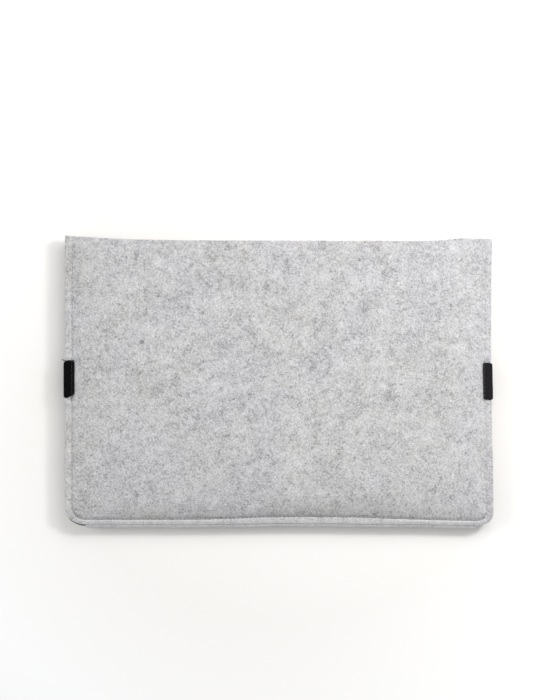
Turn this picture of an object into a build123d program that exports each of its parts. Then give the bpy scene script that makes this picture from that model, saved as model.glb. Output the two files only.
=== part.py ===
from build123d import *
import os
from math import exp

# Felt laptop sleeve, lying on its front face with its back face up. Millimetres.
# +X runs along the mouth, +Y points out of the mouth and +Z is up.

# Driving dimensions
WIDTH = 350.0  # outer width, cut edge to cut edge
DEPTH = 240.0  # from the front panel's bottom edge to the mouth's corners
FELT = 3.0  # felt thickness
SIDE_MARGIN = 5.7  # cut edge to stitch line, left and right
BOTTOM_MARGIN = 7.8  # front panel's bottom edge to the stitch line
LEDGE = 2.5  # how far the front panel's bottom edge stands out past the back panel's
CORNER_LEFT = 16.4  # bottom corner radii
CORNER_RIGHT = 12.5
MOUTH_SAG = 2.5  # how far the mouth's edge lies below its two corners
MOUTH_EASE = 40.0  # length over which it rises to each corner

BOW = 7.9  # how far each panel bows away from the seam plane
PRESSED = 0.4  # how much of that the resting plane presses flat
SIDE_EASE = 28.0  # how quickly a panel bows, going in from a side seam
BOTTOM_EASE = 14.0  # and from the bottom seam
GRID = 32  # spans each way of the net that a bowed face is fitted through

STITCH_PITCH = 3.4
STITCH_LENGTH = 2.7
THREAD = 0.6
GROOVE = 1.8  # width of the channel that the seam pulls into the felt
WEB = 1.2  # felt left under the thread in that channel

STRAP_WIDTH = 32.0
STRAP = 1.2  # elastic thickness
STRAP_Y = 0.9  # middle of the strap
STRAP_RISE = 0.1  # the strap's height above the resting plane
TAIL = 8.0  # how far the strap's ends reach in over the back face
FOLD = 1.1  # outside radius of the strap's fold round the felt edge
STRAP_SPANS = 40  # spans of the curve that the strap follows

GAP = 0.3  # between bodies that move apart
FIT = 0.1  # between pieces that lie on each other

# Places that follow from them
SEAM_Z = FELT + BOW - PRESSED  # the plane where the two panels meet
SEAM_X = WIDTH / 2 - SIDE_MARGIN
SEAM_Y = -DEPTH / 2 + BOTTOM_MARGIN
BACK_Y = -DEPTH / 2 + LEDGE
MOUTH_Y = DEPTH / 2
SEAM_RADIUS_LEFT = CORNER_LEFT - SIDE_MARGIN
SEAM_RADIUS_RIGHT = CORNER_RIGHT - SIDE_MARGIN
TAIL_TOP = SEAM_Z + FELT + FIT + STRAP
TAIL_BOTTOM = SEAM_Z - FELT - FIT - STRAP
SPAN_END = SEAM_X - GROOVE / 2 - GAP  # where the strap's front run begins, past its sewn end
BEYOND = 20.0  # how far cutting shapes run past the felt


def bow(x, y):
    """How far a panel stands off the seam plane."""
    from_side = max(0.0, SEAM_X - abs(x))
    from_bottom = max(0.0, y - SEAM_Y)
    return BOW * (1 - exp(-from_side / SIDE_EASE)) * (1 - exp(-from_bottom / BOTTOM_EASE))


def rounded_outline(side, bottom, r_left, r_right):
    """A tall shape with rounded bottom corners, open-ended past the mouth."""
    top = MOUTH_Y + BEYOND
    edges = [
        Line((-side, top), (-side, bottom + r_left)),
        TangentArc((-side, bottom + r_left), (-side + r_left, bottom), tangent=(0, -1)),
        Line((-side + r_left, bottom), (side - r_right, bottom)),
        TangentArc((side - r_right, bottom), (side, bottom + r_right), tangent=(1, 0)),
        Line((side, bottom + r_right), (side, top)),
        Line((side, top), (-side, top)),
    ]
    return make_face(edges)


def below_mouth():
    """Everything on the pocket's side of the mouth's edge, whose corners stand a little proud."""
    side = WIDTH / 2
    shoulder = side - MOUTH_EASE
    middle_y = MOUTH_Y - MOUTH_SAG
    low = -DEPTH
    edges = [
        TangentArc((-shoulder, middle_y), (-side, MOUTH_Y), tangent=(-1, 0)),
        Line((-shoulder, middle_y), (shoulder, middle_y)),
        TangentArc((shoulder, middle_y), (side, MOUTH_Y), tangent=(1, 0)),
        Line((side, MOUTH_Y), (side, low)),
        Line((side, low), (-side, low)),
        Line((-side, low), (-side, MOUTH_Y)),
    ]
    return make_face(edges)


def panel_outline():
    """The cut edge that both panels share."""
    return rounded_outline(WIDTH / 2, BACK_Y, CORNER_LEFT, CORNER_RIGHT) & below_mouth()


def ledge_outline():
    """The strip by which the front panel stands out below, with its two slanted ends."""
    left = -WIDTH / 2 + CORNER_LEFT
    right = WIDTH / 2 - CORNER_RIGHT
    low = -DEPTH / 2
    return make_face(Polyline(
        (left, BACK_Y), (left + LEDGE, low), (right - LEDGE, low), (right, BACK_Y),
        (right, BACK_Y + LEDGE), (left, BACK_Y + LEDGE), close=True,
    ))


def inside_seam(inset):
    """The region inside the stitch line, moved in by inset, or out if it is negative."""
    return rounded_outline(
        SEAM_X - inset, SEAM_Y + inset, SEAM_RADIUS_LEFT - inset, SEAM_RADIUS_RIGHT - inset
    )


def prism(face, low, high):
    return extrude(Pos(0, 0, low) * face, amount=high - low, dir=(0, 0, 1))


def strap_window(reach, clearance):
    """The two places under the strap's ends, reaching in from each side of the felt."""
    width = STRAP_WIDTH + 2 * clearance
    half = WIDTH / 2 - reach / 2
    return Sketch() + [Pos(sign * half, STRAP_Y) * Rectangle(reach, width) for sign in (-1, 1)]


def bowed_sheet(sign):
    """A sheet of felt bowed up (sign 1) or down (sign -1) from the seam plane."""
    rows = []
    for i in range(GRID + 1):
        x = SEAM_X * (2 * i / GRID - 1)
        row = []
        for j in range(GRID + 1):
            y = SEAM_Y + (MOUTH_Y + FELT - SEAM_Y) * j / GRID
            row.append(Vector(x, y, SEAM_Z + sign * bow(x, y)))
        rows.append(row)
    face = Face.make_surface_from_array_of_points(rows, tol=0.01, min_deg=3, max_deg=3)
    return extrude(face, amount=FELT, dir=(0, 0, sign))


def back_field():
    """The back panel inside the seam, free to lift at the mouth."""
    region = inside_seam(GROOVE / 2 + GAP) & below_mouth()
    region -= strap_window(TAIL + GAP, GAP)
    return bowed_sheet(1) & prism(region, 0, BEYOND + SEAM_Z)


def back_margin():
    """The back panel's sewn edge, with the channel that the stitches lie in."""
    outer = panel_outline() - inside_seam(-GROOVE / 2)
    channel = (inside_seam(-GROOVE / 2) - inside_seam(GROOVE / 2)) & below_mouth()
    under_tails = strap_window(TAIL, 0) & inside_seam(GROOVE / 2)
    margin = prism(outer, SEAM_Z, SEAM_Z + FELT)
    margin += prism(channel, SEAM_Z, SEAM_Z + WEB)
    margin += prism(under_tails, SEAM_Z + 2 * GAP, SEAM_Z + WEB)
    return margin


def strap_curve():
    """Height of the strap's lower face along its front run."""
    points = []
    for i in range(STRAP_SPANS + 1):
        x = SPAN_END * (2 * i / STRAP_SPANS - 1)
        fall = exp(-(SEAM_X - abs(x)) / SIDE_EASE)
        points.append((x, STRAP_RISE + (TAIL_BOTTOM - STRAP_RISE) * fall))
    return points


def strap_band(low_offset, high_offset, width, end):
    """A band along the strap's curve, between two heights above its lower face."""
    low = [(x, z + low_offset) for x, z in strap_curve()]
    high = [(x, z + high_offset) for x, z in strap_curve()]
    profile = make_face([
        Spline(*low),
        Line(low[-1], high[-1]),
        Spline(*high),
        Line(high[0], low[0]),
    ])
    band = extrude(Plane.XZ * profile, amount=width / 2, both=True)
    return Pos(0, STRAP_Y, 0) * (band & Box(2 * end, width, 4 * SEAM_Z))


def front_panel():
    """The panel that the sleeve lies on, pressed flat where it rests."""
    whole = panel_outline() + ledge_outline()
    margin = whole - inside_seam(0)
    field = bowed_sheet(-1) & prism(inside_seam(0) & below_mouth(), -BEYOND, SEAM_Z)
    panel = field + prism(margin, SEAM_Z - FELT, SEAM_Z)
    channel = (inside_seam(-GROOVE / 2) - inside_seam(GROOVE / 2)) & below_mouth()
    panel -= prism(channel, 0, SEAM_Z - WEB)
    panel -= strap_band(-BEYOND, STRAP + GAP, STRAP_WIDTH + 2 * GAP, SPAN_END)
    under_floor = Pos(0, 0, -BEYOND) * Box(2 * WIDTH, 2 * DEPTH, 2 * BEYOND)
    return panel - under_floor


def elastic_strap():
    """The strap's run across the front face."""
    return strap_band(0, STRAP, STRAP_WIDTH, SPAN_END)


def strap_end(sign):
    """One end of the strap, folded round the felt edge and sewn down on both faces."""
    edge = WIDTH / 2 + FIT
    outside = edge + STRAP
    back_reach = WIDTH / 2 - TAIL
    front_reach = SPAN_END + GAP
    face_z = SEAM_Z + FELT + FIT
    under_z = SEAM_Z - FELT - FIT
    profile = make_face(Polyline(
        (back_reach, TAIL_TOP), (outside, TAIL_TOP), (outside, TAIL_BOTTOM),
        (front_reach, TAIL_BOTTOM), (front_reach, under_z), (edge, under_z),
        (edge, face_z), (back_reach, face_z), close=True,
    ))
    folds = profile.vertices().group_by(Axis.X)[-1]
    profile = fillet(folds, FOLD)
    end = extrude(Plane.XZ * profile, amount=STRAP_WIDTH / 2, both=True)
    end = Pos(0, STRAP_Y, 0) * end
    return end if sign > 0 else mirror(end, about=Plane.YZ)


def seam_line():
    """The stitch line: down the left side, along the bottom and up the right side."""
    bottom_left = SEAM_Y + SEAM_RADIUS_LEFT
    bottom_right = SEAM_Y + SEAM_RADIUS_RIGHT
    top = MOUTH_Y - MOUTH_SAG
    corner_left = (-SEAM_X + SEAM_RADIUS_LEFT, SEAM_Y)
    corner_right = (SEAM_X - SEAM_RADIUS_RIGHT, SEAM_Y)
    return Wire([
        Line((-SEAM_X, top), (-SEAM_X, bottom_left)),
        TangentArc((-SEAM_X, bottom_left), corner_left, tangent=(0, -1)),
        Line(corner_left, corner_right),
        TangentArc(corner_right, (SEAM_X, bottom_right), tangent=(1, 0)),
        Line((SEAM_X, bottom_right), (SEAM_X, top)),
    ])


def stitches(channel_z, over_strap_z):
    """One short length of thread for each stitch, over the strap where it crosses."""
    line = seam_line()
    count = int(line.length / STITCH_PITCH)
    threads = []
    for i in range(count):
        place = line.position_at((i + 0.5) / count)
        along = line.tangent_at((i + 0.5) / count)
        off_strap = abs(place.Y - STRAP_Y) - STRAP_WIDTH / 2
        if abs(off_strap) < STITCH_PITCH / 2 + FIT:
            continue  # this one climbs the strap's edge, inside the fold
        z = over_strap_z if off_strap < 0 else channel_z
        spot = Plane(origin=(place.X, place.Y, z), z_dir=along)
        threads.append(spot * Cylinder(THREAD / 2, STITCH_LENGTH))
    return Compound(children=threads)


def needle_thread():
    """The thread seen on the back face."""
    lift = FIT + THREAD / 2
    return stitches(SEAM_Z + WEB + lift, TAIL_TOP + lift)


def bobbin_thread():
    """The thread on the front face."""
    lift = FIT + THREAD / 2
    return stitches(SEAM_Z - WEB - lift, TAIL_BOTTOM - lift)


os.makedirs("parts", exist_ok=True)
PARTS = {
    "front_panel": front_panel(),
    "back_panel": back_field(),
    "back_panel_sewn_margin": back_margin(),
    "seam_needle_thread": needle_thread(),
    "seam_bobbin_thread": bobbin_thread(),
    "elastic_strap": elastic_strap(),
    "strap_end_left": strap_end(-1),
    "strap_end_right": strap_end(1),
}
for name, part in PARTS.items():
    export_step(part, f"parts/{name}.step")
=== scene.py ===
import math
import random

import bpy
import numpy as np
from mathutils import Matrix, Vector


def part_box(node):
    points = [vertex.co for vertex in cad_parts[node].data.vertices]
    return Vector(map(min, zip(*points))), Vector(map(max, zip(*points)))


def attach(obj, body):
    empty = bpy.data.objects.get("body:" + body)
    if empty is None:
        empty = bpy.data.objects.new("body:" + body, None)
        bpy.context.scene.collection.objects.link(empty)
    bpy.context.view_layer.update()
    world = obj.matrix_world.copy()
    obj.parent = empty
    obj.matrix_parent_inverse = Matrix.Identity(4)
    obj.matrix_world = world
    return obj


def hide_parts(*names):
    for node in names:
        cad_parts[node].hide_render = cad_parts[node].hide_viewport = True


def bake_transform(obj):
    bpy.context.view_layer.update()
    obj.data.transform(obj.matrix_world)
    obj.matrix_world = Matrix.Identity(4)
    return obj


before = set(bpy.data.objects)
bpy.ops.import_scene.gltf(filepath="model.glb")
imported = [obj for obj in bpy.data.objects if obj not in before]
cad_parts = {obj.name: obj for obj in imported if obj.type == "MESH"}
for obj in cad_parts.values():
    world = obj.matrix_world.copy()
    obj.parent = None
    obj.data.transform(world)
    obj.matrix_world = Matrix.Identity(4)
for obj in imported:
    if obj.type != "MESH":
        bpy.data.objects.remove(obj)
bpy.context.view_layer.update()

# Sizes in metres. +X runs along the mouth, +Y out of the mouth and +Z up out of the back face.
MM = 0.001
FRONT_LOW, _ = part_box("front_panel")
MARGIN_LOW, MARGIN_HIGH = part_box("back_panel_sewn_margin")
_, NEEDLE_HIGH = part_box("seam_needle_thread")
STRAP_LOW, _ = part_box("elastic_strap")
TAIL_LOW, TAIL_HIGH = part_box("strap_end_right")

HALF = MARGIN_HIGH.x  # half the outer width
MOUTH_Y = MARGIN_HIGH.y
BACK_Y = MARGIN_LOW.y  # bottom cut edge of the back panel
LEDGE = MARGIN_LOW.y - FRONT_LOW.y  # the front panel stands out this far below it
SEAM_Z = MARGIN_LOW.z  # where the two panels meet
FELT = MARGIN_HIGH.z - MARGIN_LOW.z
THREAD = 0.6 * MM
SEAM_INSET = HALF - NEEDLE_HIGH.x + THREAD / 2
STITCH_PITCH = 3.4 * MM
CORNER_LEFT = 16.4 * MM
CORNER_RIGHT = 12.5 * MM
BOW = 7.9 * MM  # how far each panel bows off the seam plane
SIDE_EASE = 28 * MM
BOTTOM_EASE = 14 * MM
STRAP_WIDTH = TAIL_HIGH.y - TAIL_LOW.y
STRAP_Y = (TAIL_HIGH.y + TAIL_LOW.y) / 2
STRAP = 1.2 * MM
TAIL = HALF - TAIL_LOW.x  # how far each strap end reaches in over the back face
HAIR = 0.05 * MM  # clearance between pieces that lie on each other

# The seam, and how it pulls the felt
SEED = 11
GROOVE_DEPTH = 0.9 * MM
GROOVE_SPREAD = 1.1 * MM
PULL_SPREAD = 5.5 * MM  # how far in from the seam it pulls the panel down
SEAM_START = 6.5 * MM  # the sewing starts this far below the mouth
# One stitch: share of the way to the next hole, and height as a share of its rise.
STITCH_SHAPE = ((0.05, -0.75), (0.1, -0.1), (0.2, 0.75), (0.35, 1), (0.5, 1.05),
                (0.65, 1), (0.8, 0.75), (0.9, -0.1), (0.95, -0.75))
# The loose thread at the left strap end, in mm from the strap's upper outer corner.
LOOSE_THREAD = ((-2.0, 1.1), (-0.8, 0.7), (0.4, 0.2), (1.6, -0.2),
                (3.2, 0.3), (4.8, 0.5), (6.6, 0.1), (8.2, 0.3))

# The felt's own relief
CUT_ROUND = 0.4 * MM  # how much the cut edge is worn round
PLUMP = 0.10 * MM  # how much the margin swells between the edge and the seam
TUCK = 2.1 * MM  # how much thinner the back panel gets towards its bottom edge
TUCK_REACH = 4.2 * MM
LUMP_HEIGHT = 0.30 * MM
PAD_HEIGHT = 0.05 * MM
WANDER = 0.16 * MM  # how far a cut edge wanders
WANDER_REACH = 4 * MM
WALL_ROWS = 4
WALL_BULGE = 0.12 * MM

# The ledge of the front panel along the bottom
SHELF = 2.9 * MM  # how far it shows below the back panel, once settled
SHELF_REACH = 4.4 * MM
CURL = 1.7 * MM  # how far its upper edge rolls down

# Unevenness that hand cutting and hand sewing leave
BOTTOM_ARCH = 1.0 * MM  # the bottom edge rises in its middle
CORNER_DROOP = 0.9 * MM  # and hangs at its right end
SEAM_DROP = 0.9 * MM  # the bottom stitch line runs close to the edge
SEAM_RISE = 1.4 * MM  # and further in along the middle
MOUTH_CUT = 5.0 * MM  # the mouth is cut low but for its left corner
MOUTH_RETURN = 2.2 * MM  # and rises a little again at its right one
RIGHT_FLARE = 0.8 * MM  # the right side stands out at its two ends
WAIST = 2.2 * MM  # and is pinched in halfway up
LEFT_LEAN = 0.8 * MM

# Nets
COARSE = STITCH_PITCH / 2  # net spacing away from the edges
# Net lines near a cut edge, in mm in from it: close at the edge and at the stitch line.
EDGE_LINES = (0, 0.12, 0.3, 0.6, 1.0, 1.6, 2.3, 3.1, 3.8, 4.4, 4.8, 5.1, 5.36,
              5.64, 5.92, 6.2, 6.5, 6.9, 7.5, 8.3, 9.3, 10.6, 12.5, 14.4, 16.4)
MOUTH_LINES = (0.8, 0.4, 0.15, 0)  # the same at the mouth, which has no seam


def smooth(low, high, value):
    """0 below low, 1 above high, and an even S between."""
    t = np.clip((value - low) / (high - low), 0, 1)
    return t * t * (3 - 2 * t)


def waves(seed, shortest, longest, count):
    """A fixed set of long soft waves: amplitude about 1 when they are summed."""
    rng = random.Random(seed)
    found = []
    for _ in range(count):
        length = shortest * (longest / shortest) ** rng.random()
        turn = rng.random() * 2 * math.pi
        found.append((math.cos(turn) * 2 * math.pi / length, math.sin(turn) * 2 * math.pi / length,
                      rng.random() * 2 * math.pi, length / longest))
    return found


def rolling(x, y, found):
    """Height of a set of waves at each place."""
    total = np.zeros_like(x)
    for kx, ky, phase, size in found:
        total += size * np.sin(kx * x + ky * y + phase)
    return total / math.sqrt(len(found) / 2)


LUMPS = waves(SEED, 22 * MM, 95 * MM, 26)
PADS = waves(SEED + 1, 7 * MM, 20 * MM, 30)
EDGE_WANDER = waves(SEED + 2, 9 * MM, 60 * MM, 18)


# ---------------------------------------------------------------- shape of the felt

def net_lines(start, end, fine_start, fine_end):
    """Net lines from start to end, close together at the ends that are cut edges."""
    lines = []
    low, high = start, end
    if fine_start:
        lines += [start + v * MM for v in EDGE_LINES]
        low = lines[-1]
    if fine_end:
        high = end - EDGE_LINES[-1] * MM
    steps = max(1, round((high - low) / COARSE))
    inner = [low + (high - low) * i / steps for i in range(steps + 1)]
    lines += inner[1:] if fine_start else inner
    if fine_end:
        lines += [end - v * MM for v in reversed(EDGE_LINES[:-1])]
    return np.array(lines)


def round_corners(x, y):
    """Bends the net's square bottom corners into arcs, each line staying as far from the edge."""
    x, y = x.copy(), y.copy()
    for side, radius in ((-1, CORNER_LEFT), (1, CORNER_RIGHT)):
        cx, cy = side * (HALF - radius), BACK_Y + radius
        a, b = side * x - side * cx, cy - y
        inside = (a > 0) & (b > 0)
        far = np.maximum(a, b)
        near = np.minimum(a, b)
        part = np.where(far > 0, near / np.maximum(far, 1e-9), 0) * math.pi / 4
        angle = np.where(a >= b, part, math.pi / 2 - part)
        x = np.where(inside, cx + side * far * np.cos(angle), x)
        y = np.where(inside, cy - far * np.sin(angle), y)
    return x, y


def settle(x, y):
    """The hand-cut, hand-sewn unevenness that every piece shares."""
    up = np.clip((y - BACK_Y) / (MOUTH_Y - BACK_Y), 0, 1)
    from_bottom = y - BACK_Y
    arch = BOTTOM_ARCH * np.exp(-((x - 15 * MM) / (62 * MM)) ** 2)
    droop = -CORNER_DROOP * smooth(105 * MM, 165 * MM, x)
    rise = SEAM_RISE * np.exp(-((x - 30 * MM) / (68 * MM)) ** 4) - SEAM_DROP
    slack = rise * smooth(0.5 * MM, 5 * MM, from_bottom) * smooth(34 * MM, 7 * MM, from_bottom)
    from_left = np.maximum(x + HALF + 1 * MM, 0)
    mouth = MOUTH_RETURN * smooth(120 * MM, 152 * MM, x)
    mouth = mouth - MOUTH_CUT * (1 - np.exp(-from_left / (42 * MM)))
    right = RIGHT_FLARE - WAIST * smooth(-125 * MM, 20 * MM, y)
    right = right + RIGHT_FLARE * smooth(50 * MM, 125 * MM, y)
    lean = right * np.clip(x / HALF, 0, 1) ** 3 - LEFT_LEAN * np.clip(-x / HALF, 0, 1) ** 3
    near_bottom = smooth(0.3, 0.0, up)
    lift = up ** 5 * mouth + near_bottom * (arch + droop) + slack
    return x + lean, y + lift


def from_edges(x, y):
    """Distances in from the sides, from the bottom, and from the nearest sewn edge."""
    side = HALF - np.abs(x)
    bottom = y - BACK_Y
    return side, bottom, np.minimum(side, bottom)


def bow(x, y):
    """How far a panel stands off the seam plane, before its corners are rounded."""
    side, bottom, _ = from_edges(x, y)
    in_side = np.maximum(side - SEAM_INSET, 0)
    in_bottom = np.maximum(bottom - SEAM_INSET, 0)
    return BOW * (1 - np.exp(-in_side / SIDE_EASE)) * (1 - np.exp(-in_bottom / BOTTOM_EASE))


def felt_face(x, y, tuck):
    """Relief of a panel's outer face: soft cut edge, plump margin, sewn groove and lumps."""
    side, bottom, edge = from_edges(x, y)
    low = smooth(-6 * MM, 6 * MM, side - bottom)  # 1 along the bottom seam, 0 along the sides
    cut = np.minimum(edge, np.maximum(MOUTH_Y - y, 0))
    rounded = -CUT_ROUND * np.exp(-cut / (0.25 * MM)) * (0.3 + 0.7 * smooth(0, 2 * MM, bottom))
    plump = PLUMP * np.sin(np.clip(edge / SEAM_INSET, 0, 1) * math.pi)
    sewn = smooth(0.3 * SEAM_START, 1.3 * SEAM_START, MOUTH_Y - y)
    past = edge - SEAM_INSET
    spread = np.where(past > 0, PULL_SPREAD * (1 + 0.7 * low), GROOVE_SPREAD)
    groove = -(0.55 - 0.25 * low) * np.exp(-(past / GROOVE_SPREAD) ** 2)
    groove -= (0.45 + 0.65 * low) * np.exp(-(past / spread) ** 2)
    groove = groove * GROOVE_DEPTH * sewn * (1 - 0.5 * smooth(0.8 * HALF, HALF, x) * (1 - low))
    tucked = -tuck * np.exp(-np.maximum(bottom, 0) / TUCK_REACH)
    free = smooth(0, 14 * MM, edge - SEAM_INSET)
    lumps = LUMP_HEIGHT * rolling(x, y, LUMPS) * free + PAD_HEIGHT * rolling(x, y, PADS) * free
    return rounded + plump + groove + tucked + lumps


def cut_edge_wander(x, y):
    """The cut edge's small wander, fading out towards the stitch line."""
    _, _, edge = from_edges(x, y)
    fade = np.clip(1 - edge / WANDER_REACH, 0, 1)
    mouth = np.clip(1 - (MOUTH_Y - y) / WANDER_REACH, 0, 1)
    return WANDER * rolling(x, y, EDGE_WANDER) * np.maximum(fade, mouth)


# ---------------------------------------------------------------- meshes

def new_object(name, verts, faces, material):
    """A smooth-shaded object of one mesh."""
    mesh = bpy.data.meshes.new(name)
    mesh.from_pydata([tuple(v) for v in verts], [], faces)
    mesh.validate()
    mesh.polygons.foreach_set("use_smooth", [True] * len(mesh.polygons))
    mesh.update()
    ob = bpy.data.objects.new(name, mesh)
    bpy.context.scene.collection.objects.link(ob)
    ob.data.materials.append(material)
    return ob


def slab(name, upper, lower, material, wall_rows, bulge):
    """A closed sheet between two nets of points, with walls of a few rows all round."""
    nx, ny, _ = upper.shape
    verts = list(upper.reshape(-1, 3)) + list(lower.reshape(-1, 3))
    below = nx * ny

    def at(i, j):
        return i * ny + j

    faces = []
    for i in range(nx - 1):
        for j in range(ny - 1):
            a, b, c, d = at(i, j), at(i + 1, j), at(i + 1, j + 1), at(i, j + 1)
            faces.append((a, b, c, d))
            faces.append((below + d, below + c, below + b, below + a))
    ring = [at(i, 0) for i in range(nx)]
    ring += [at(nx - 1, j) for j in range(1, ny)]
    ring += [at(i, ny - 1) for i in range(nx - 2, -1, -1)]
    ring += [at(0, j) for j in range(ny - 2, 0, -1)]
    outward = edge_directions(np.array([verts[k] for k in ring]))
    rows = [ring]
    for row in range(1, wall_rows + 1):
        t = row / (wall_rows + 1)
        puff = bulge * math.sin(math.pi * t)
        start = len(verts)
        for k, out in zip(ring, outward):
            top, low = np.array(verts[k]), np.array(verts[below + k])
            verts.append(top * (1 - t) + low * t + out * puff)
        rows.append(list(range(start, start + len(ring))))
    rows.append([below + k for k in ring])
    count = len(ring)
    for upper_row, lower_row in zip(rows, rows[1:]):
        for k in range(count):
            n = (k + 1) % count
            faces.append((upper_row[n], upper_row[k], lower_row[k], lower_row[n]))
    ob = new_object(name, verts, faces, material)
    ob.data.set_sharp_from_angle(angle=math.radians(50))
    return ob


def edge_directions(points):
    """Level directions that point out of a closed ring of points."""
    ahead = np.roll(points, -1, axis=0) - np.roll(points, 1, axis=0)
    out = np.stack([ahead[:, 1], -ahead[:, 0], np.zeros(len(points))], axis=1)
    length = np.linalg.norm(out, axis=1, keepdims=True)
    return out / np.maximum(length, 1e-9)


def placed(x, y, z):
    """Net points in place: corners rounded, then settled."""
    wander = cut_edge_wander(x, y)
    px, py = round_corners(x, y)
    px, py = settle(px, py)
    out_x = np.sign(x) * (HALF - np.abs(x) < y - BACK_Y)
    out_y = np.where(MOUTH_Y - y < WANDER_REACH, 1.0, -1.0 * (out_x == 0))
    return np.stack([px + wander * out_x, py + wander * out_y, z], axis=-1)


def lines_up():
    """Net lines of a panel from its bottom edge up to the mouth."""
    ys = net_lines(BACK_Y, MOUTH_Y, True, False)
    return np.append(ys[:-1], [MOUTH_Y - v * MM for v in MOUTH_LINES])


def back_half(name, side, material):
    """Left or right half of the back panel, from its cut edge to the middle."""
    if side < 0:
        xs = net_lines(-HALF, 0, True, False)
    else:
        xs = net_lines(0, HALF, False, True)
    x, y = np.meshgrid(xs, lines_up(), indexing="ij")
    rise = bow(x, y)
    top = SEAM_Z + FELT + rise + felt_face(x, y, TUCK) + under_tail(x, y)
    low = SEAM_Z + rise + HAIR
    return slab(name, placed(x, y, top), placed(x, y, low), material, WALL_ROWS, WALL_BULGE)


def under_tail(x, y):
    """How the felt gives under each strap end."""
    side = HALF - np.abs(x)
    across = smooth(1.2 * MM, -0.6 * MM, np.abs(y - STRAP_Y) - STRAP_WIDTH / 2)
    inward = smooth(1.0 * MM, -0.6 * MM, side - TAIL)
    return -0.35 * MM * across * inward


def strap_low(x):
    """Height of the strap's lower face along its front run, out to the side seams."""
    fall = np.exp(-np.maximum(HALF - SEAM_INSET - np.abs(x), 0) / SIDE_EASE)
    return STRAP_LOW.z + (TAIL_LOW.z - STRAP_LOW.z) * fall


def front_panel(material):
    """The panel that the sleeve lies on, pressed flat where it rests and under the strap."""
    xs = net_lines(-HALF, HALF, True, True)
    x, y = np.meshgrid(xs, lines_up(), indexing="ij")
    drop = bow(x, y)
    inner = SEAM_Z - drop - HAIR
    outer = SEAM_Z - FELT - drop - felt_face(x, y, 0)
    rest = 0.02 * MM  # the lowest face stands this far off the floor
    ease = 1 * MM  # below this height the bow flattens out instead of going on down
    above = outer - rest
    outer = rest + np.where(above > ease, above, ease * np.exp(np.minimum(above / ease - 1, 0)))
    under = smooth(3.0 * MM, 0.2 * MM, np.abs(y - STRAP_Y) - STRAP_WIDTH / 2)
    need = strap_low(x) + STRAP + 4 * HAIR - outer
    outer = outer + np.maximum(need, 0) * under
    inner = np.maximum(inner, outer + 0.45 * FELT)
    points_in, points_out = placed(x, y, inner), placed(x, y, outer)
    shelf = smooth(-HALF + CORNER_LEFT - 1.2 * MM, -HALF + CORNER_LEFT + 0.6 * MM, x)
    shelf *= smooth(HALF - CORNER_RIGHT, HALF - CORNER_RIGHT - LEDGE, x)
    stretch = SHELF * shelf * np.clip(1 - (y - BACK_Y) / SHELF_REACH, 0, 1)
    curl = CURL * np.clip(2.5 * stretch / SHELF - 1.5, 0, 1) ** 2
    points_in[..., 1] -= stretch
    points_out[..., 1] -= stretch
    points_in[..., 2] -= curl
    return slab("front_felt_panel", points_in, points_out, material, WALL_ROWS, WALL_BULGE)


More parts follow.
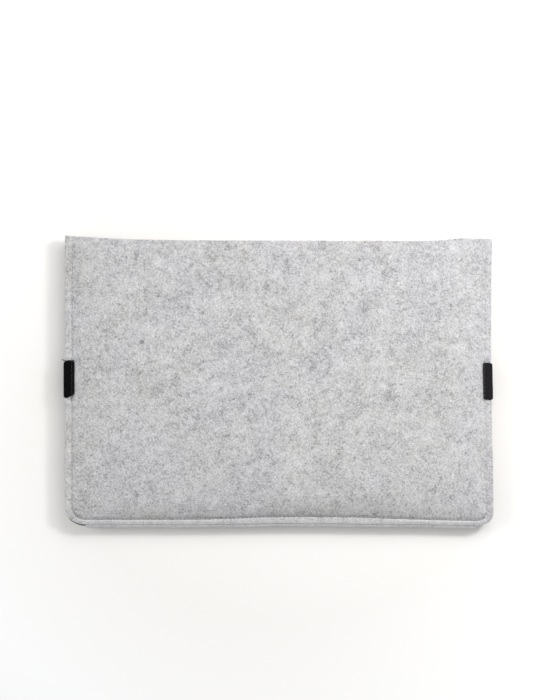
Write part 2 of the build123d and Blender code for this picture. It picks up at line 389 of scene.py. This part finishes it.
def strap_half(name, side, material, tail_y, tail_cut, reach, lean):
    """Half of the strap: from the middle of the front run, round the felt edge, to its tail.

    tail_y is the middle of the tail, tail_cut how much its end is cut short below the middle,
    reach how far it comes in from the felt edge, and lean how far its ends lean over.
    """
    x_run = np.concatenate([np.linspace(0, 0.75, 24), np.linspace(0.78, 1, 16)]) * (HALF - SEAM_INSET)
    path = [(x, strap_low(np.array(x)) + STRAP / 2) for x in x_run]
    under, over = TAIL_LOW.z + STRAP / 2, TAIL_HIGH.z - STRAP / 2
    for x in np.linspace(HALF - SEAM_INSET + 1 * MM, HALF - 0.6 * MM, 5):
        path.append((x, under))
    turn = 1.1 * MM  # radius of the fold round the felt edge
    edge = TAIL_HIGH.x - STRAP / 2
    for k in range(1, 6):
        a = math.pi / 2 * k / 6
        path.append((edge - turn + turn * math.sin(a), under + turn - turn * math.cos(a)))
    for z in np.linspace(under + turn, over - turn, 5):
        path.append((edge, z))
    for k in range(1, 6):
        a = math.pi / 2 * k / 6
        path.append((edge - turn + turn * math.cos(a), over - turn + turn * math.sin(a)))
    for x in np.linspace(HALF - 0.8 * MM, HALF - reach, 12):
        dip = 0.35 * MM * math.exp(-((HALF - x - SEAM_INSET) / (1.0 * MM)) ** 2)
        end = 0.5 * MM * smooth(HALF - reach + 1.5 * MM, HALF - reach, x)
        path.append((x, over - dip - end))
    line = np.array(path)
    ahead = np.gradient(line, axis=0)
    ahead /= np.linalg.norm(ahead, axis=1, keepdims=True)
    normal = np.stack([ahead[:, 1], -ahead[:, 0]], axis=1)  # out of the sleeve
    ribs = 17
    across = np.linspace(-1, 1, 4 * ribs + 1)
    rib = 0.10 * MM * np.cos(across * ribs * math.pi)
    slim = 0.35 * MM * np.abs(across) ** 14
    outer = np.zeros((len(line), len(across), 3))
    inner = np.zeros_like(outer)
    total = np.linalg.norm(np.diff(line, axis=0), axis=1)
    along = np.concatenate([[0], np.cumsum(total)])
    on_tail = smooth(along[-1] - 26 * MM, along[-1] - 12 * MM, along)
    cut = smooth(along[-1] - TAIL, along[-1], along)
    half_width = STRAP_WIDTH / 2 * (1 - 0.04 * on_tail)
    half_width -= 0.9 * MM * smooth(along[-1] - 1.6 * MM, along[-1], along) ** 2
    half_width -= 0.8 * MM * smooth(edge - 2.4 * MM, edge, line[:, 0]) ** 2
    for k, v in enumerate(across):
        y = STRAP_Y + v * half_width + (tail_y - STRAP_Y) * on_tail
        if v < 0:
            y = y - v * tail_cut * cut
        grown = STRAP / 2 - slim[k] + rib[k]
        outer[:, k, 0] = side * (line[:, 0] + normal[:, 0] * grown)
        outer[:, k, 2] = line[:, 1] + normal[:, 1] * grown
        thin = STRAP / 2 - slim[k] * 0.6
        inner[:, k, 0] = side * (line[:, 0] - normal[:, 0] * thin)
        inner[:, k, 2] = line[:, 1] - normal[:, 1] * thin
        outer[:, k, 1] = inner[:, k, 1] = y
        for face in (outer, inner):
            face[:, k, 0] += settle(face[:, k, 0], y)[0] - face[:, k, 0] - lean * v * on_tail
    first, second = (inner, outer) if side > 0 else (outer, inner)
    return slab(name, first, second, material, 1, 0)


def seam_places():
    """Every needle hole along the seam: place, direction, and whether it is on a strap end."""
    run = HALF - SEAM_INSET
    low = BACK_Y + SEAM_INSET
    r_left, r_right = CORNER_LEFT - SEAM_INSET, CORNER_RIGHT - SEAM_INSET
    top = MOUTH_Y - SEAM_START
    pieces = [
        ("line", (-run, top), (-run, low + r_left)),
        ("arc", (-run + r_left, low + r_left), r_left, math.pi),
        ("line", (-run + r_left, low), (run - r_right, low)),
        ("arc", (run - r_right, low + r_right), r_right, 1.5 * math.pi),
        ("line", (run, low + r_right), (run, top)),
    ]
    step_wanted = STITCH_PITCH / 8
    spots = []
    for piece in pieces:
        if piece[0] == "line":
            _, a, b = piece
            steps = max(1, round(math.dist(a, b) / step_wanted))
            spots += [(a[0] + (b[0] - a[0]) * k / steps, a[1] + (b[1] - a[1]) * k / steps)
                      for k in range(steps)]
        else:
            _, c, r, start = piece
            steps = max(1, round(r * math.pi / 2 / step_wanted))
            spots += [(c[0] + r * math.cos(start + math.pi / 2 * k / steps),
                       c[1] + r * math.sin(start + math.pi / 2 * k / steps)) for k in range(steps)]
    spots.append((run, top))
    spots = np.array(spots)
    spots[:, 0], spots[:, 1] = settle(spots[:, 0], spots[:, 1])
    step = np.linalg.norm(np.diff(spots, axis=0), axis=1)
    along = np.concatenate([[0], np.cumsum(step)])
    count = round(along[-1] / STITCH_PITCH)
    even = np.linspace(0, along[-1], count + 1)
    return np.stack([np.interp(even, along, spots[:, k]) for k in range(2)], axis=1)


def tube(verts, faces, path, radius, sides=7):
    """Adds a closed tube along a path of points to a mesh in the making."""
    path = np.array(path)
    ahead = np.gradient(path, axis=0)
    ahead /= np.linalg.norm(ahead, axis=1, keepdims=True)
    up = np.array([0.0, 0.0, 1.0])
    start = len(verts)
    for k, (point, way) in enumerate(zip(path, ahead)):
        right = np.cross(way, up)
        length = np.linalg.norm(right)
        right = right / length if length > 1e-6 else np.array([1.0, 0.0, 0.0])
        lift = np.cross(right, way)
        r = radius[k] if hasattr(radius, "__len__") else radius
        for s in range(sides):
            a = 2 * math.pi * s / sides
            verts.append(point + r * (math.cos(a) * right + math.sin(a) * lift))
    for k in range(len(path) - 1):
        for s in range(sides):
            n = (s + 1) % sides
            a = start + k * sides
            faces.append((a + s, a + sides + s, a + sides + n, a + n))
    faces.append(tuple(start + s for s in range(sides)))
    last = start + (len(path) - 1) * sides
    faces.append(tuple(last + s for s in reversed(range(sides))))


def on_strap(x, y):
    """Whether a place on the seam lies over a strap end."""
    return abs(y - STRAP_Y) < STRAP_WIDTH / 2 and abs(x) > HALF / 2


def stitches(name, face, material, strap_material):
    """One run of thread per stitch, out of one needle hole and into the next. face is 1 or -1."""
    rng = random.Random(SEED + (3 if face > 0 else 4))
    holes = seam_places()
    verts, faces, dark = [], [], []
    for a, b in zip(holes, holes[1:]):
        middle = (a + b) / 2
        over_strap = on_strap(*middle)
        if over_strap:
            base = TAIL_HIGH.z - 0.62 * MM if face > 0 else TAIL_LOW.z + 0.25 * MM
        else:
            base = SEAM_Z + face * (FELT - GROOVE_DEPTH - 0.22 * MM)
        way = (b - a) / np.linalg.norm(b - a)
        skew = np.array([-way[1], way[0]]) * rng.uniform(-0.12, 0.12) * MM
        rise = (0.30 + rng.uniform(-0.04, 0.06)) * MM
        path = []
        for t, h in STITCH_SHAPE:
            x, y = a + (b - a) * t + skew * math.sin(math.pi * t)
            path.append((x, y, base + face * h * rise))
        radius = THREAD / 2 * (1 + rng.uniform(-0.06, 0.06))
        before = len(faces)
        tube(verts, faces, path, radius)
        dark += [1 if over_strap else 0] * (len(faces) - before)
    if face > 0:
        left, top = -TAIL_HIGH.x, STRAP_Y + STRAP_WIDTH / 2
        path = [(left + dx * MM, top + dy * MM, TAIL_HIGH.z + 0.1 * MM) for dx, dy in LOOSE_THREAD]
        before = len(faces)
        tube(verts, faces, path, 0.36 * MM)
        dark += [1] * (len(faces) - before)
    ob = new_object(name, verts, faces, material)
    ob.data.materials.append(strap_material)
    ob.data.polygons.foreach_set("material_index", dark)
    return ob


def painted_shadow_corner_gap(name, material):
    """A dark tube of painted shadow round the left bottom corner, where shade falls in the gap between
    the two felts.
    """
    cx, cy = -HALF + CORNER_LEFT, BACK_Y + CORNER_LEFT
    steps = 18
    path = []
    for k in range(steps + 1):
        t = k / steps
        a = math.radians(196 + 73 * t)  # from low on the left side to the start of the ledge
        r = CORNER_LEFT + (1.0 * min(1, 1.5 * t) - 0.35) * MM
        x, y = settle(np.array(cx + r * math.cos(a)), np.array(cy + r * math.sin(a)))
        path.append((float(x), float(y), SEAM_Z))
    verts, faces = [], []
    tube(verts, faces, path, 0.5 * MM)
    return new_object(name, verts, faces, material)


def needle_holes(name, material):
    """The pits that the needle leaves between one stitch and the next, coloured dark as painted shade
    inside each hole.
    """
    verts, faces = [], []
    rng = random.Random(SEED + 5)
    sides = 9
    for x, y in seam_places()[1:-1]:
        if on_strap(x, y):
            base = TAIL_HIGH.z - 0.33 * MM
        else:
            base = SEAM_Z + FELT - GROOVE_DEPTH + 0.03 * MM
        r = (0.42 + rng.uniform(-0.1, 0.1)) * MM
        start = len(verts)
        for share, sink in ((1, -0.10), (1, 0.0), (0.55, -0.12), (0.1, -0.3)):
            for s in range(sides):
                a = 2 * math.pi * s / sides
                verts.append((x + share * r * math.cos(a), y + share * r * math.sin(a),
                              base + sink * MM))
        for ring in range(3):
            for s in range(sides):
                n = (s + 1) % sides
                k = start + ring * sides
                faces.append((k + s, k + n, k + sides + n, k + sides + s))
        faces.append(tuple(start + s for s in reversed(range(sides))))
        faces.append(tuple(start + 3 * sides + s for s in range(sides)))
    return new_object(name, verts, faces, material)


# ---------------------------------------------------------------- materials

def node(tree, kind, **values):
    """Adds a node; values name its properties, and its inputs by their labels with _ for spaces."""
    made = tree.nodes.new(kind)
    for key, value in values.items():
        if hasattr(made, key):
            setattr(made, key, value)
        else:
            made.inputs[key.replace("_", " ")].default_value = value
    return made


def math_node(tree, operation, a, b=None, c=None, clamp=False):
    """Adds a Math node; each of a, b and c is a number or a socket to link from."""
    made = tree.nodes.new("ShaderNodeMath")
    made.operation = operation
    made.use_clamp = clamp
    for socket, value in zip(made.inputs, (a, b, c)):
        if value is None:
            continue
        if isinstance(value, (int, float)):
            socket.default_value = value
        else:
            tree.links.new(value, socket)
    return made.outputs[0]


def mix_colour(tree, factor, a, b, blend="MIX"):
    """Adds a colour mix from a to b; each value is a constant or a socket to link from."""
    made = tree.nodes.new("ShaderNodeMix")
    made.data_type = "RGBA"
    made.blend_type = blend
    for socket, value in ((made.inputs[0], factor), (made.inputs[6], a), (made.inputs[7], b)):
        if isinstance(value, (int, float, tuple)):
            socket.default_value = value
        else:
            tree.links.new(value, socket)
    return made.outputs[2]


def object_place(tree):
    """Where on the piece a point lies, as a vector in metres."""
    return tree.nodes.new("ShaderNodeTexCoord").outputs["Object"]


def length_of(tree, vector):
    """Adds a node that gives a vector's length."""
    made = node(tree, "ShaderNodeVectorMath", operation="LENGTH")
    tree.links.new(vector, made.inputs[0])
    return made.outputs["Value"]


def new_group(name, inputs, outputs):
    """An empty shader group with its sockets: (name, type, default)."""
    tree = bpy.data.node_groups.new(name, "ShaderNodeTree")
    for label, kind, default in inputs:
        socket = tree.interface.new_socket(label, in_out="INPUT", socket_type=kind)
        socket.default_value = default
    for label, kind in outputs:
        tree.interface.new_socket(label, in_out="OUTPUT", socket_type=kind)
    return tree, tree.nodes.new("NodeGroupInput"), tree.nodes.new("NodeGroupOutput")


def ridges(tree, coords, scale, sharpness, distortion, seed):
    """Thin winding lines, 0 to 1, like hairs caught in the felt."""
    moved = node(tree, "ShaderNodeMapping", Location=(seed, seed * 0.7, 0))
    tree.links.new(coords, moved.inputs["Vector"])
    found = node(tree, "ShaderNodeTexNoise", Scale=scale, Detail=1.0, Roughness=0.4,
                 Distortion=distortion)
    tree.links.new(moved.outputs[0], found.inputs["Vector"])
    off = math_node(tree, "ABSOLUTE", math_node(tree, "SUBTRACT", found.outputs[0], 0.5))
    return math_node(tree, "SUBTRACT", 1.0, math_node(tree, "MULTIPLY", off, sharpness), clamp=True)


def noise_of(tree, coords, scale, detail, roughness):
    """Noise from 0 to 1; scale counts its lumps in a metre."""
    found = node(tree, "ShaderNodeTexNoise", Scale=scale, Detail=detail, Roughness=roughness)
    tree.links.new(coords, found.inputs["Vector"])
    return found.outputs[0]


def felt_group():
    """Pressed felt: cloudy mottling, speckle, winding hairs and a few dark flecks."""
    tree, given, out = new_group("pressed_felt", [
        ("Base", "NodeSocketColor", (0.55, 0.56, 0.57, 1)),
        ("Shade", "NodeSocketColor", (0.36, 0.37, 0.38, 1)),
        ("Pale", "NodeSocketColor", (0.72, 0.73, 0.74, 1)),
        ("Mottling", "NodeSocketFloat", 0.5),
        ("Speckle", "NodeSocketFloat", 0.5),
        ("Hairs", "NodeSocketFloat", 0.5),
    ], [("Colour", "NodeSocketColor"), ("Height", "NodeSocketFloat")])
    coords = object_place(tree)

    cloud = noise_of(tree, coords, 42, 5, 0.62)
    patch = noise_of(tree, coords, 160, 4, 0.6)
    grain = noise_of(tree, coords, 640, 2, 0.6)
    fine = noise_of(tree, coords, 1500, 2, 0.5)
    cloud_off = math_node(tree, "SUBTRACT", cloud, 0.5)
    patch_off = math_node(tree, "SUBTRACT", patch, 0.5)
    grain_off = math_node(tree, "SUBTRACT", grain, 0.5)
    fine_off = math_node(tree, "SUBTRACT", fine, 0.5)
    mottled = math_node(tree, "ADD", math_node(tree, "MULTIPLY", cloud_off, 0.6),
                        math_node(tree, "MULTIPLY", patch_off, 0.75))
    mottled = math_node(tree, "MULTIPLY", mottled, given.outputs["Mottling"])
    speck = math_node(tree, "ADD", math_node(tree, "MULTIPLY", grain_off, 1.2),
                      math_node(tree, "MULTIPLY", fine_off, 0.9))
    speck = math_node(tree, "MULTIPLY", speck, given.outputs["Speckle"])
    tone = math_node(tree, "ADD", mottled, speck)

    dark_hair = ridges(tree, coords, 130, 26, 1.5, 3.1)
    dark_more = ridges(tree, coords, 240, 20, 2.2, 7.7)
    pale_hair = ridges(tree, coords, 190, 24, 1.8, 5.3)
    gate = noise_of(tree, coords, 210, 3, 0.6)
    gated = math_node(tree, "MULTIPLY", math_node(tree, "SUBTRACT", gate, 0.5), 8, clamp=True)
    dark = math_node(tree, "MULTIPLY", math_node(tree, "MAXIMUM", dark_hair, dark_more), gated)
    away = math_node(tree, "SUBTRACT", 1.0, gated)
    pale = math_node(tree, "MULTIPLY", pale_hair, away)
    dark = math_node(tree, "MULTIPLY", dark, given.outputs["Hairs"])
    pale = math_node(tree, "MULTIPLY", pale, given.outputs["Hairs"])

    cells = node(tree, "ShaderNodeTexVoronoi", Scale=70, Randomness=1.0)
    tree.links.new(coords, cells.inputs["Vector"])
    apart = math_node(tree, "MULTIPLY", cells.outputs["Distance"], 9)
    fleck = math_node(tree, "SUBTRACT", 1.0, apart, clamp=True)
    parts = node(tree, "ShaderNodeSeparateColor")
    tree.links.new(cells.outputs["Color"], parts.inputs[0])
    few = math_node(tree, "GREATER_THAN", parts.outputs[0], 0.9)
    fleck = math_node(tree, "MULTIPLY", fleck, few)

    below = math_node(tree, "MULTIPLY", tone, -1.0, clamp=True)
    above = math_node(tree, "MULTIPLY", tone, 1.0, clamp=True)
    shade = math_node(tree, "ADD", math_node(tree, "MULTIPLY", below, 2.0), dark)
    shade = math_node(tree, "ADD", shade, math_node(tree, "MULTIPLY", fleck, 0.5), clamp=True)
    light = math_node(tree, "ADD", math_node(tree, "MULTIPLY", above, 2.0), pale, clamp=True)
    hue = noise_of(tree, coords, 24, 3, 0.55)
    hue = math_node(tree, "MULTIPLY", math_node(tree, "SUBTRACT", hue, 0.38), 4, clamp=True)
    tint = mix_colour(tree, hue, (0.985, 0.975, 1.0, 1), (1.0, 0.985, 0.955, 1))
    base = mix_colour(tree, 1.0, given.outputs["Base"], tint, "MULTIPLY")
    colour = mix_colour(tree, shade, base, given.outputs["Shade"])
    colour = mix_colour(tree, light, colour, given.outputs["Pale"])
    height = math_node(tree, "ADD", tone, math_node(tree, "MULTIPLY", pale, 0.35))
    height = math_node(tree, "SUBTRACT", height, math_node(tree, "MULTIPLY", dark, 0.25))
    tree.links.new(colour, out.inputs["Colour"])
    tree.links.new(height, out.inputs["Height"])
    return tree


def weave_group():
    """Narrow woven bands: ribs along the length and picks across it."""
    tree, given, out = new_group("woven_ribs", [
        ("Rib Pitch", "NodeSocketFloat", 0.0019),
        ("Pick Pitch", "NodeSocketFloat", 0.0009),
        ("Lint", "NodeSocketFloat", 0.3),
    ], [("Tone", "NodeSocketFloat"), ("Height", "NodeSocketFloat")])
    coords = object_place(tree)
    split = node(tree, "ShaderNodeSeparateXYZ")
    tree.links.new(coords, split.inputs[0])
    turns = 2 * math.pi
    along = math_node(tree, "ADD", split.outputs["X"], split.outputs["Z"])
    picks = math_node(tree, "DIVIDE", along, given.outputs["Pick Pitch"])
    pick_at = math_node(tree, "MULTIPLY", picks, turns)
    ribs = math_node(tree, "DIVIDE", split.outputs["Y"], given.outputs["Rib Pitch"])
    rib = math_node(tree, "SINE", math_node(tree, "MULTIPLY", ribs, turns))
    pick_at = math_node(tree, "ADD", pick_at, math_node(tree, "MULTIPLY", rib, 1.6))
    pick = math_node(tree, "SINE", pick_at)
    height = math_node(tree, "ADD", rib, math_node(tree, "MULTIPLY", pick, 0.6))
    lint = math_node(tree, "SUBTRACT", noise_of(tree, coords, 900, 4, 0.7), 0.6)
    lint = math_node(tree, "MULTIPLY", lint, given.outputs["Lint"], clamp=True)
    tone = math_node(tree, "MULTIPLY_ADD", height, 0.12, 0.35)
    tone = math_node(tree, "ADD", tone, math_node(tree, "MULTIPLY", lint, 4.0), clamp=True)
    tree.links.new(tone, out.inputs["Tone"])
    tree.links.new(height, out.inputs["Height"])
    return tree


def new_material(name, roughness, sheen, sheen_roughness, specular):
    """A material with its constants set on the shader's own sockets."""
    material = bpy.data.materials.new(name)
    material.use_nodes = True
    tree = material.node_tree
    shader = tree.nodes["Principled BSDF"]
    shader.inputs["Roughness"].default_value = roughness
    shader.inputs["Sheen Weight"].default_value = sheen
    shader.inputs["Sheen Roughness"].default_value = sheen_roughness
    shader.inputs["Specular IOR Level"].default_value = specular
    return material, tree, shader


def placed_group(tree, group, **values):
    """Places a shader group in a material, with its inputs by their labels, _ for spaces."""
    made = tree.nodes.new("ShaderNodeGroup")
    made.node_tree = group
    for key, value in values.items():
        made.inputs[key.replace("_", " ")].default_value = value
    return made


def bump(tree, shader, height, strength, distance):
    """Feeds a height into the shader's normal."""
    made = node(tree, "ShaderNodeBump", Strength=strength, Distance=distance)
    tree.links.new(height, made.inputs["Height"])
    tree.links.new(made.outputs[0], shader.inputs["Normal"])


def knot_group():
    """A small matted place in the felt: a spot, or a ring where a fibre curls round."""
    tree, given, out = new_group("fibre_knot", [
        ("Place", "NodeSocketVector", (0, 0, 0)),
        ("Radius", "NodeSocketFloat", 0.0015),
        ("Thickness", "NodeSocketFloat", 0.0008),
    ], [("Mask", "NodeSocketFloat")])
    coords = object_place(tree)
    apart = node(tree, "ShaderNodeVectorMath", operation="SUBTRACT")
    tree.links.new(coords, apart.inputs[0])
    tree.links.new(given.outputs["Place"], apart.inputs[1])
    level = node(tree, "ShaderNodeVectorMath", operation="MULTIPLY")
    level.inputs[1].default_value = (1, 1, 0)
    tree.links.new(apart.outputs[0], level.inputs[0])
    ragged = math_node(tree, "SUBTRACT", noise_of(tree, coords, 900, 2, 0.6), 0.5)
    ragged = math_node(tree, "MULTIPLY", ragged, 3.0 * MM)
    distance = math_node(tree, "ADD", length_of(tree, level.outputs[0]), ragged)
    off_ring = math_node(tree, "SUBTRACT", distance, given.outputs["Radius"])
    off_ring = math_node(tree, "ABSOLUTE", off_ring)
    share = math_node(tree, "DIVIDE", off_ring, given.outputs["Thickness"])
    mask = math_node(tree, "SUBTRACT", 1.0, share, clamp=True)
    tree.links.new(mask, out.inputs["Mask"])
    return tree


PRESSED_FELT = felt_group()
WOVEN_RIBS = weave_group()
FIBRE_KNOT = knot_group()
FLECK_PLACE = (-112.2 * MM, 32.4 * MM, 0)
CURL_PLACE = (-147.6 * MM, 4.2 * MM, 0)


def felt_material(name, base, shade, pale, mottling, speckle, hairs):
    """Felt with a dark fleck and a pale curl of fibre, and with painted light making it paler below
    the bottom seam.
    """
    material, tree, shader = new_material(name, 0.95, 0.15, 0.6, 0.15)
    felt = placed_group(tree, PRESSED_FELT, Base=base, Shade=shade, Pale=pale,
                        Mottling=mottling, Speckle=speckle, Hairs=hairs)
    fleck = placed_group(tree, FIBRE_KNOT, Place=FLECK_PLACE,
                         Radius=0.7 * MM, Thickness=2.1 * MM)
    curl = placed_group(tree, FIBRE_KNOT, Place=CURL_PLACE,
                        Radius=1.4 * MM, Thickness=0.9 * MM)
    colour = mix_colour(tree, fleck.outputs["Mask"], felt.outputs["Colour"], (0.20, 0.20, 0.20, 1))
    colour = mix_colour(tree, curl.outputs["Mask"], colour, (0.68, 0.68, 0.69, 1))
    place = tree.nodes.new("ShaderNodeSeparateXYZ")
    tree.links.new(object_place(tree), place.inputs[0])
    # Painted light: below the bottom stitch line the felt is mixed up to a third of the way to a paler
    # grey, standing in for light on the margin.
    below_seam = math_node(tree, "SUBTRACT", BACK_Y + SEAM_INSET - 0.4 * MM, place.outputs["Y"])
    below_seam = math_node(tree, "MULTIPLY", below_seam, 1 / (2 * MM), clamp=True)
    painted_light_below_seam = math_node(tree, "MULTIPLY", below_seam, 0.33)
    colour = mix_colour(tree, painted_light_below_seam, colour, (0.74, 0.737, 0.745, 1))
    tree.links.new(colour, shader.inputs["Base Color"])
    bump(tree, shader, felt.outputs["Height"], 0.55, 0.5 * MM)
    return material


def elastic_material():
    """Woven elastic, with a painted sheen making it lighter towards its right end, where the key light
    falls.
    """
    material, tree, shader = new_material("black_elastic_webbing", 0.6, 0.0, 0.5, 0.06)
    weave = placed_group(tree, WOVEN_RIBS, Rib_Pitch=1.88 * MM, Pick_Pitch=0.9 * MM, Lint=0.35)
    place = tree.nodes.new("ShaderNodeSeparateXYZ")
    tree.links.new(object_place(tree), place.inputs[0])
    # Painted sheen: the colours grow lighter from the left end to the right end, standing in for the
    # key light's sheen on the right tail.
    painted_sheen_to_right = math_node(tree, "MULTIPLY", place.outputs["X"], 0.5 / HALF)
    painted_sheen_to_right = math_node(tree, "ADD", painted_sheen_to_right, 0.5, clamp=True)
    dark = mix_colour(tree, painted_sheen_to_right, (0.0006, 0.0006, 0.0008, 1), (0.010, 0.0085, 0.0105, 1))
    light = mix_colour(tree, painted_sheen_to_right, (0.003, 0.003, 0.0033, 1), (0.022, 0.019, 0.023, 1))
    colour = mix_colour(tree, weave.outputs["Tone"], dark, light)
    tree.links.new(colour, shader.inputs["Base Color"])
    bump(tree, shader, weave.outputs["Height"], 0.5, 0.12 * MM)
    return material


def thread_and_painted_shade_material(name, dark, light):
    """Twisted thread; the same shader in darker colours gives the painted shade in the needle holes
    and the painted shadow in the corner gap.
    """
    material, tree, shader = new_material(name, 0.8, 0.2, 0.5, 0.25)
    weave = placed_group(tree, WOVEN_RIBS, Rib_Pitch=0.7 * MM, Pick_Pitch=0.55 * MM, Lint=0.2)
    colour = mix_colour(tree, weave.outputs["Tone"], dark, light)
    tree.links.new(colour, shader.inputs["Base Color"])
    bump(tree, shader, weave.outputs["Height"], 0.4, 0.06 * MM)
    return material


def floor_material():
    """Pale paper with painted shade and warm bounce: darker and warmer round the sleeve than further
    out.
    """
    material, tree, shader = new_material("pale_studio_floor", 0.9, 0.0, 0.5, 0.0)
    coords = object_place(tree)
    cloud = noise_of(tree, coords, 3, 3, 0.5)
    # Painted shade and warm bounce: within 0.2 m of the middle the paper is darker and warmer, fading
    # to near white by about 0.31 m.
    near = mix_colour(tree, cloud, (0.905, 0.885, 0.86, 1), (0.915, 0.898, 0.88, 1))
    away = math_node(tree, "SUBTRACT", length_of(tree, coords), 0.20)
    away = math_node(tree, "MULTIPLY", away, 9, clamp=True)
    colour = mix_colour(tree, away, near, (0.99, 0.99, 0.99, 1))
    tree.links.new(colour, shader.inputs["Base Color"])
    return material


# ---------------------------------------------------------------- the sleeve

FELT_GREY = felt_material("light_grey_felt", (0.502, 0.502, 0.511, 1), (0.235, 0.233, 0.24, 1),
                          (0.672, 0.669, 0.677, 1), 1.0, 1.0, 0.7)
ELASTIC = elastic_material()
THREAD_GREY = thread_and_painted_shade_material("grey_sewing_thread", (0.30, 0.30, 0.31, 1), (0.50, 0.50, 0.51, 1))
THREAD_DARK = thread_and_painted_shade_material("thread_sunk_in_elastic", (0.006, 0.006, 0.006, 1),
                              (0.030, 0.030, 0.031, 1))
# Near-black colours for the painted shadow tube in the gap round the left bottom corner.
CORNER_GAP_PAINTED_SHADOW = thread_and_painted_shade_material("painted_shadow_between_felts", (0.03, 0.03, 0.03, 1), (0.07, 0.07, 0.07, 1))
# Dark colours for the painted shade inside the needle holes.
NEEDLE_HOLE_PAINTED_SHADE = thread_and_painted_shade_material("needle_hole_shadow", (0.10, 0.10, 0.10, 1), (0.20, 0.20, 0.20, 1))

back_left = back_half("back_felt_left", -1, FELT_GREY)
back_right = back_half("back_felt_right", 1, FELT_GREY)
front = front_panel(FELT_GREY)
strap_left = strap_half("elastic_strap_left_half", -1, ELASTIC, STRAP_Y + 0.6 * MM, 2.6 * MM,
                        TAIL - 0.5 * MM, 0)
strap_right = strap_half("elastic_strap_right_half", 1, ELASTIC, STRAP_Y - 0.9 * MM, 0.6 * MM,
                         TAIL - 1.4 * MM, 0.15 * MM)
needle = stitches("needle_thread_stitches", 1, THREAD_GREY, THREAD_DARK)
bobbin = stitches("bobbin_thread_stitches", -1, THREAD_GREY, THREAD_DARK)
holes = needle_holes("needle_holes", NEEDLE_HOLE_PAINTED_SHADE)
# The painted shadow tube round the left bottom corner.
corner_shadow_tube = painted_shadow_corner_gap("painted_shadow_corner_gap", CORNER_GAP_PAINTED_SHADOW)

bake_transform(back_left)
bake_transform(back_right)
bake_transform(strap_left)
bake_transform(strap_right)
for fixed_piece in (front, needle, bobbin, holes, corner_shadow_tube):
    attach(fixed_piece, "root")

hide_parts("back_panel", "back_panel_sewn_margin")
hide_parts("back_panel", "back_panel_sewn_margin")
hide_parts("front_panel")
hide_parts("elastic_strap", "strap_end_left")
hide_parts("elastic_strap", "strap_end_right")
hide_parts("seam_needle_thread")
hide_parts("seam_bobbin_thread")


# ---------------------------------------------------------------- floor, lights and camera

def floor():
    """A wide net just under the sleeve."""
    size = 9.0
    steps = 18
    verts = [(size * (i / steps - 0.5), size * (j / steps - 0.5), 0.0)
             for i in range(steps + 1) for j in range(steps + 1)]
    faces = [(i * (steps + 1) + j, (i + 1) * (steps + 1) + j,
              (i + 1) * (steps + 1) + j + 1, i * (steps + 1) + j + 1)
             for i in range(steps) for j in range(steps)]
    ob = new_object("studio_floor", verts, faces, floor_material())
    ob.location.z = -0.2 * MM


def area_light(name, place, wide, tall, power, colour=(1, 1, 1)):
    """A soft light that faces the middle of the sleeve."""
    data = bpy.data.lights.new(name, "AREA")
    data.shape = "RECTANGLE"
    data.size = wide
    data.size_y = tall
    data.energy = power
    data.color = colour
    ob = bpy.data.objects.new(name, data)
    bpy.context.scene.collection.objects.link(ob)
    ob.location = place
    ob.rotation_euler = (-Vector(place)).to_track_quat("-Z", "Y").to_euler()


def studio():
    """White surroundings, a key light and a softbox from the upper right, and a fill from the left."""
    world = bpy.data.worlds.new("studio")
    world.use_nodes = True
    background = world.node_tree.nodes["Background"]
    background.inputs["Color"].default_value = (1, 1, 1, 1)
    background.inputs["Strength"].default_value = 0.54
    bpy.context.scene.world = world
    key_way = Vector((0.64, 0.42, 0.66)).normalized()
    area_light("key_light", key_way * 0.95, 0.16, 0.16, 3.3)
    area_light("top_softbox", (0.38, 0.66, 0.70), 0.9, 0.5, 4.7)
    area_light("left_fill", (-1.7, 0.3, 1.1), 0.9, 0.9, 12, (0.97, 1.0, 1.0))
    bpy.context.scene.view_settings.view_transform = "Standard"


def camera():
    """Looks straight down on the back face, with the sleeve a little below the middle."""
    data = bpy.data.cameras.new("camera")
    data.lens = 85
    data.sensor_width = 36
    data.dof.use_dof = False
    covered = 574 * MM  # the long side of what the camera covers
    ob = bpy.data.objects.new("camera", data)
    bpy.context.scene.collection.objects.link(ob)
    ob.location = (0.5 * MM, 25.8 * MM, MARGIN_HIGH.z + covered * data.lens / data.sensor_width)
    ob.rotation_euler = (0, 0, 0)
    bpy.context.scene.camera = ob


floor()
studio()
camera()
